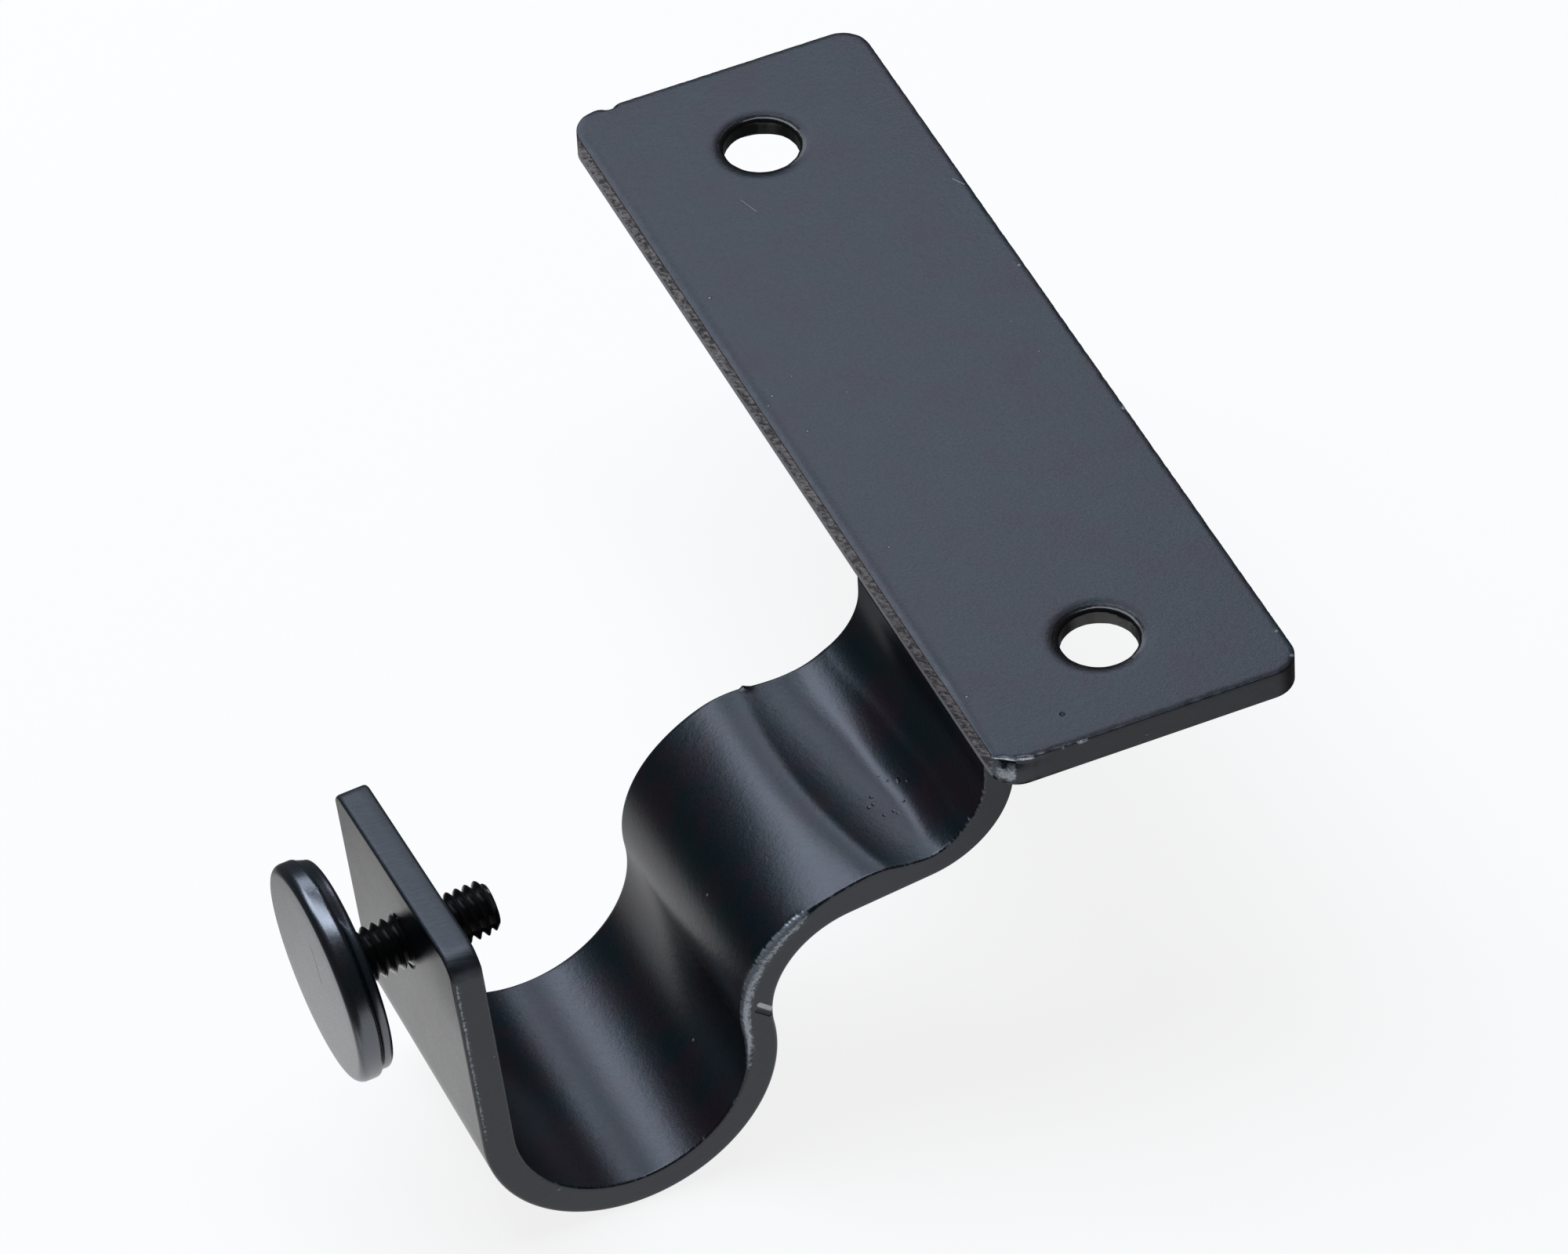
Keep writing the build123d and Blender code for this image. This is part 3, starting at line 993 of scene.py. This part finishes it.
def groove_fill(turned, radius, z):
    """How far coat fills the groove between flange and head, on the side that is uppermost at rest."""
    start, end, soft = 236.0, 358.0, 14.0
    filled = smooth_step(start, start + soft, turned) * smooth_step(end, end - soft, turned)
    reach = (HEAD_START + FLANGE_EDGE, HEAD_BACK + 0.5)
    smooth_rim = np.interp(z, reach, (FLANGE_RADIUS, HEAD_RADIUS), left=0.0, right=0.0)
    return filled * max(smooth_rim - radius, 0.0)


def build_screw(materials, columns=120):
    """The screw in one piece: a right-handed thread, a flange and a flat disc head."""
    start = poly_curve("screw_axis", [(0, 0, SCREW_TIP), (0, 0, HEAD_START)])
    mesh = mesh_from_tree(start, thread_tree(columns, 10), {
        "Pitch": THREAD_PITCH, "Crest": THREAD_CREST, "Root": THREAD_ROOT, "Tip": SCREW_TIP,
        "Top": HEAD_START, "Tip Chamfer": TIP_CHAMFER, "Run Out": THREAD_RUN_OUT,
        "Coat": materials[THREADED]})
    points = [tuple(v.co) for v in mesh.vertices]
    faces = [tuple(p.vertices) for p in mesh.polygons]
    finishes = [THREADED] * len(faces)
    first = len(points)
    section = head_section()
    for radius, z in section:
        for angle in circle_angles(columns):
            size = radius + groove_fill(degrees(angle), radius, z)
            points.append((size * cos(angle), size * sin(angle), z))
    add_faces(faces, finishes, grid_faces(len(section), columns, first))
    ring = len(points) - columns
    points.append((0.0, 0.0, HEAD_FRONT))
    add_faces(faces, finishes, [(ring + i, ring + (i + 1) % columns, ring + columns) for i in range(columns)])
    ring = len(points)
    tip_radius = THREAD_CREST - TIP_CHAMFER
    points.extend((tip_radius * cos(a), tip_radius * sin(a), SCREW_TIP) for a in circle_angles(columns))
    points.append((0.0, 0.0, SCREW_TIP))
    made = [(ring + (i + 1) % columns, ring + i, ring + columns) for i in range(columns)]
    add_faces(faces, finishes, made, THREADED)
    frame_of_screw = screw_matrix()
    points = [frame_of_screw @ Vector(p) for p in points]
    return finished_piece("thumb_screw_turned", points, faces, materials, finishes, sharp_angle=50)


coat = powder_coat()
black_thread = thread_black()
plate = build_plate([coat, sheared_side(), black_thread])
arm = build_arm([coat, sheared_end(), black_thread])
screw = build_screw([screw_coat(), black_thread])
for piece, body, node, slot in ((plate, "bracket", "mounting_plate", "powder_coat"),
                                (arm, "bracket", "pole_arm", "powder_coat"),
                                (screw, "screw", "thumb_screw", "screw_coat")):
    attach(piece, body)
    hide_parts(node)

# Camera: the photograph's own view, with a long lens
CAMERA_PLACE = Vector((-235.7, -558.81, 558.13)) * MM
CAMERA_RIGHT = Vector((0.912368, -0.407367, -0.040460))
CAMERA_DOWN = Vector((-0.308936, -0.620309, -0.720954))
CAMERA_LENS = 269.4

camera_data = bpy.data.cameras.new("camera")
camera_data.lens = CAMERA_LENS
camera_data.sensor_width = 36.0
camera = bpy.data.objects.new("camera", camera_data)
bpy.context.scene.collection.objects.link(camera)
right, up = CAMERA_RIGHT.normalized(), (-CAMERA_DOWN).normalized()
back = right.cross(up)
camera.matrix_world = Matrix.Translation(CAMERA_PLACE) @ Matrix((right, up, back)).transposed().to_4x4()
bpy.context.scene.camera = camera


def softbox(name, place, target, size, strength, tint):
    """A soft lamp that looks from a place to a target, both in millimetres."""
    data = bpy.data.lights.new(name, "AREA")
    data.shape = "RECTANGLE"
    data.size, data.size_y = (side * MM for side in size)
    data.energy = strength
    data.color = tint
    lamp = bpy.data.objects.new(name, data)
    bpy.context.scene.collection.objects.link(lamp)
    lamp.location = Vector(place) * MM
    lamp.rotation_euler = (Vector(target) - Vector(place)).to_track_quat("-Z", "Y").to_euler()


softbox("overhead", (-200, 250, 690), (-20, -10, -15), (480, 760), 6.1, (0.82, 0.88, 1.0))
softbox("zenith", (110, -45, 720), (-30, -24, -15), (190, 230), 0.85, (0.84, 0.90, 1.0))
softbox("back", (0, 620, 430), (-20, -10, -15), (300, 260), 0.7, (0.80, 0.87, 1.0))
softbox("right", (225, 510, 540), (0, 0, 0), (190, 230), 0.50, (0.80, 0.87, 1.0))


def white_floor(finish, shown=0.85):
    """Floor that the camera sees mostly as plain white. Gloss sees a painted reflection on it: white patches
    beside the arm, in front, at the tab's end and below the screw head, placed to give the object its
    highlights, and painted shade elsewhere.
    """
    camera_ray, glossy, through = finish.ray_kinds()
    reflected = glossy.most(through)
    # Painted reflection: for gloss the floor is dark apart from the bright patches below.
    painted_floor_shade = 0.07
    beside = finish.near((-52.0, -14.0, ARM_LOW.z), 48.0, 0.9)
    front = finish.stroke((-38.0, -56.0, ARM_LOW.z), (90.0, -560.0, ARM_LOW.z), 54.0)
    end = finish.near((14.0, -70.0, ARM_LOW.z), 42.0, 0.8) * 0.8
    # Painted highlight: the patch below the screw head puts a highlight on the head's rim.
    head_highlight_patch = finish.near((-77.0, -41.0, ARM_LOW.z), 15.0, 0.7)
    level = painted_floor_shade + beside.most(front).most(end).most(head_highlight_patch) * (1 - painted_floor_shade)
    tone = finish.mixed(1 - reflected * (1 - level), colour(0, 0, 0), colour(1, 1, 1))
    glow = finish.node("ShaderNodeEmission", None, {"Color": tone, "Strength": 1.0}).outputs[0]
    diffuse = finish.node("ShaderNodeBsdfDiffuse", None, {"Color": colour(0.9, 0.9, 0.9)}).outputs[0]
    lit_share = (camera_ray * shown).most(reflected)
    mixed = finish.node("ShaderNodeMixShader", None, {0: lit_share, 1: diffuse, 2: glow}).outputs[0]
    finish.node("ShaderNodeOutputMaterial", None, {"Surface": mixed})
    return finish.material


world = bpy.data.worlds.new("room")
bpy.context.scene.world = world
world.use_nodes = True
world.node_tree.nodes.clear()
sky = Graph(world.node_tree)
fill = sky.node("ShaderNodeBackground", None, {"Color": colour(0.9, 0.95, 1.0), "Strength": 0.02})
white = sky.node("ShaderNodeBackground", None, {"Color": colour(1, 1, 1), "Strength": 1.0})
camera_ray, glossy_ray, inner_ray = sky.ray_kinds()
seen = camera_ray.most(glossy_ray.most(inner_ray) * 0.02)
shown = sky.node("ShaderNodeMixShader", None, {0: seen, 1: fill.outputs[0], 2: white.outputs[0]})
sky.node("ShaderNodeOutputWorld", None, {"Surface": shown.outputs[0]})

FLOOR_HALF = 4000.0
floor_height = ARM_LOW.z - 0.05
corners = ((-1, -1), (1, -1), (1, 1), (-1, 1))
corners = [(x * FLOOR_HALF, y * FLOOR_HALF, floor_height) for x, y in corners]
floor = mesh_object("floor", corners, [(0, 1, 2, 3)], [white_floor(Finish("floor"))])

bpy.context.scene.view_settings.view_transform = "Standard"
